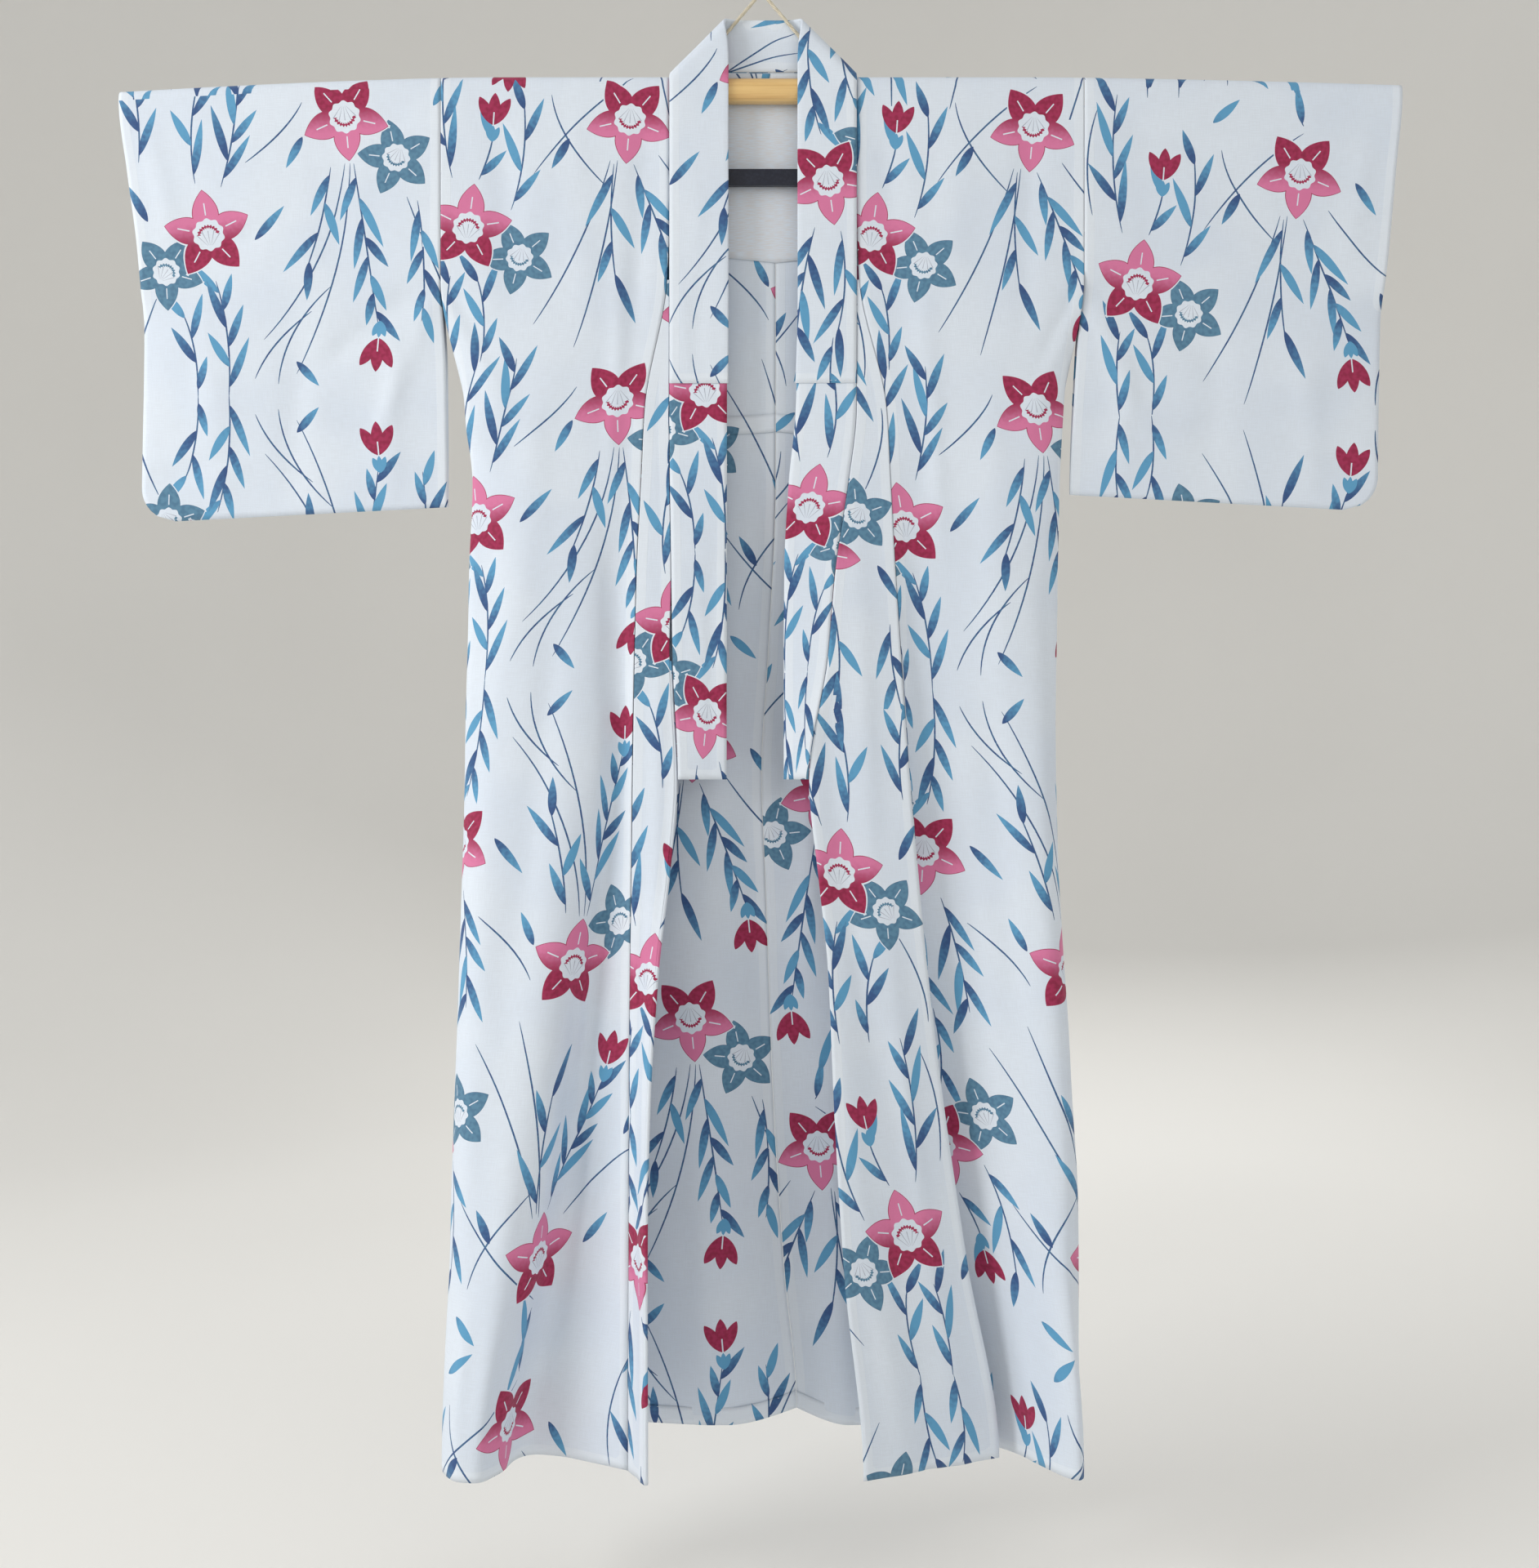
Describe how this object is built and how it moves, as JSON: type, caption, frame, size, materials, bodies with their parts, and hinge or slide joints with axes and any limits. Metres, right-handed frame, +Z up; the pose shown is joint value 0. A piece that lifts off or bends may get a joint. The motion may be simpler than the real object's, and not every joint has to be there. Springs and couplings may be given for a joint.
{
  "type": "cotton yukata robe on a wooden kimono hanger",
  "caption": "Cotton yukata robe hung open at the front on a bowed wooden kimono rod with a hanging cord, a lower bar and square cut sleeves.",
  "frame": {"origin": "top of the hanging cord, where a hook holds it", "axes": "+Z up, +X to the wearer's left, -Y out of the open front towards the viewer"},
  "size_m": [1.4451, 0.153, 1.6375],
  "materials": {
    "printed_cotton": "matte plain weave with a dyed flower print",
    "lining_cotton": "matte plain weave, undyed",
    "rod_wood": "clear varnish",
    "bar_lacquer": "dark smooth coat",
    "link_steel": "plain",
    "ferrule_brass": "satin",
    "cord_cotton": "twisted cord"
  },
  "bodies": {
    "root": {"body_right": "printed_cotton", "body_left": "printed_cotton", "sleeve_right": "printed_cotton", "sleeve_left": "printed_cotton", "overlap_right": "printed_cotton", "overlap_left": "printed_cotton", "collar": "printed_cotton", "collar_cover": "printed_cotton", "tuck_right": "printed_cotton", "tuck_left": "printed_cotton", "shoulder_lining": "lining_cotton", "rod": "rod_wood", "rod_arm_right": "rod_wood", "rod_arm_left": "rod_wood", "lower_bar": "bar_lacquer", "link_right": "link_steel", "link_left": "link_steel", "ferrule_right": "ferrule_brass", "ferrule_left": "ferrule_brass", "hang_cord": "cord_cotton"}
  },
  "joints": []
}
